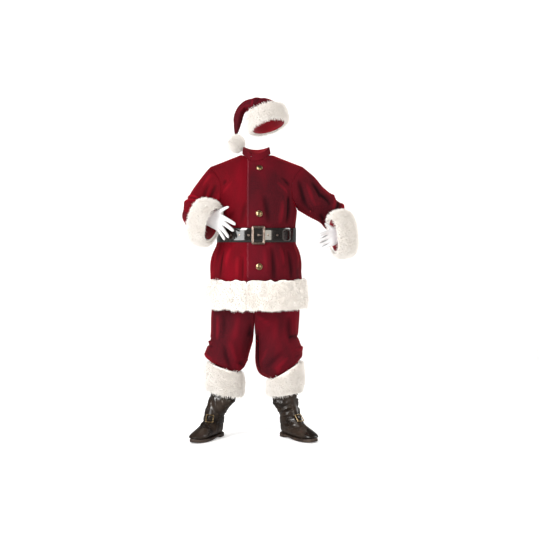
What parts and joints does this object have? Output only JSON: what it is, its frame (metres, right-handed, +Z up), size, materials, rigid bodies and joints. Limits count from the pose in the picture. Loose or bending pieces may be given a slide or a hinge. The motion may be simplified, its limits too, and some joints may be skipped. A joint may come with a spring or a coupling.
{
  "type": "santa suit",
  "caption": "Santa suit worn in a standing pose: velvet jacket, trousers and drooping hat banded with white fur, patent belt, gloves and buckled boots, hollow and unfilled.",
  "frame": {"origin": "inside the collar, on the wearer's neck, 1.5 m above the soles: the suit hangs from the wearer's shoulders", "axes": "+Z up, -Y the way the wearer faces, +X to the wearer's left"},
  "size_m": [0.9294, 0.4615, 1.8331],
  "materials": {
    "boot_vinyl": "brown-black wrinkled vinyl, soft sheen",
    "brass": "antique brass, worn",
    "bronze": "antique bronze, satin",
    "patent_vinyl": "black patent vinyl, high gloss",
    "plush": "off-white faux fur, long soft pile",
    "rubber": "dark brown, matt",
    "velvet": "dark red velvet with a low pile",
    "white_knit": "white fine knit"
  },
  "bodies": {
    "root": {"belt_buckle": "bronze", "belt_eyelet_1": "bronze", "belt_eyelet_2": "bronze", "belt_eyelet_3": "bronze", "belt_eyelet_4": "bronze", "belt_eyelet_5": "bronze", "belt_eyelet_6": "bronze", "belt_prong": "bronze", "belt_strap": "patent_vinyl", "boot_buckle_left": "brass", "boot_buckle_right": "brass", "boot_sole_left": "rubber", "boot_sole_right": "rubber", "boot_strap_left": "boot_vinyl", "boot_strap_right": "boot_vinyl", "boot_upper_left": "boot_vinyl", "boot_upper_right": "boot_vinyl", "button_1": "brass", "button_2": "brass", "button_3": "brass", "cuff_fur_left": "plush", "cuff_fur_right": "plush", "glove_left": "white_knit", "glove_right": "white_knit", "hat_crown": "velvet", "hat_fur": "plush", "hat_pompom": "plush", "jacket_back": "velvet", "jacket_collar": "velvet", "jacket_front_left": "velvet", "jacket_front_right": "velvet", "jacket_hem_fur": "plush", "sleeve_back_left": "velvet", "sleeve_back_right": "velvet", "sleeve_front_left": "velvet", "sleeve_front_right": "velvet", "trouser_back_left": "velvet", "trouser_back_right": "velvet", "trouser_front_left": "velvet", "trouser_front_right": "velvet", "trouser_fur_left": "plush", "trouser_fur_right": "plush", "trouser_waistband": "velvet"}
  },
  "joints": []
}
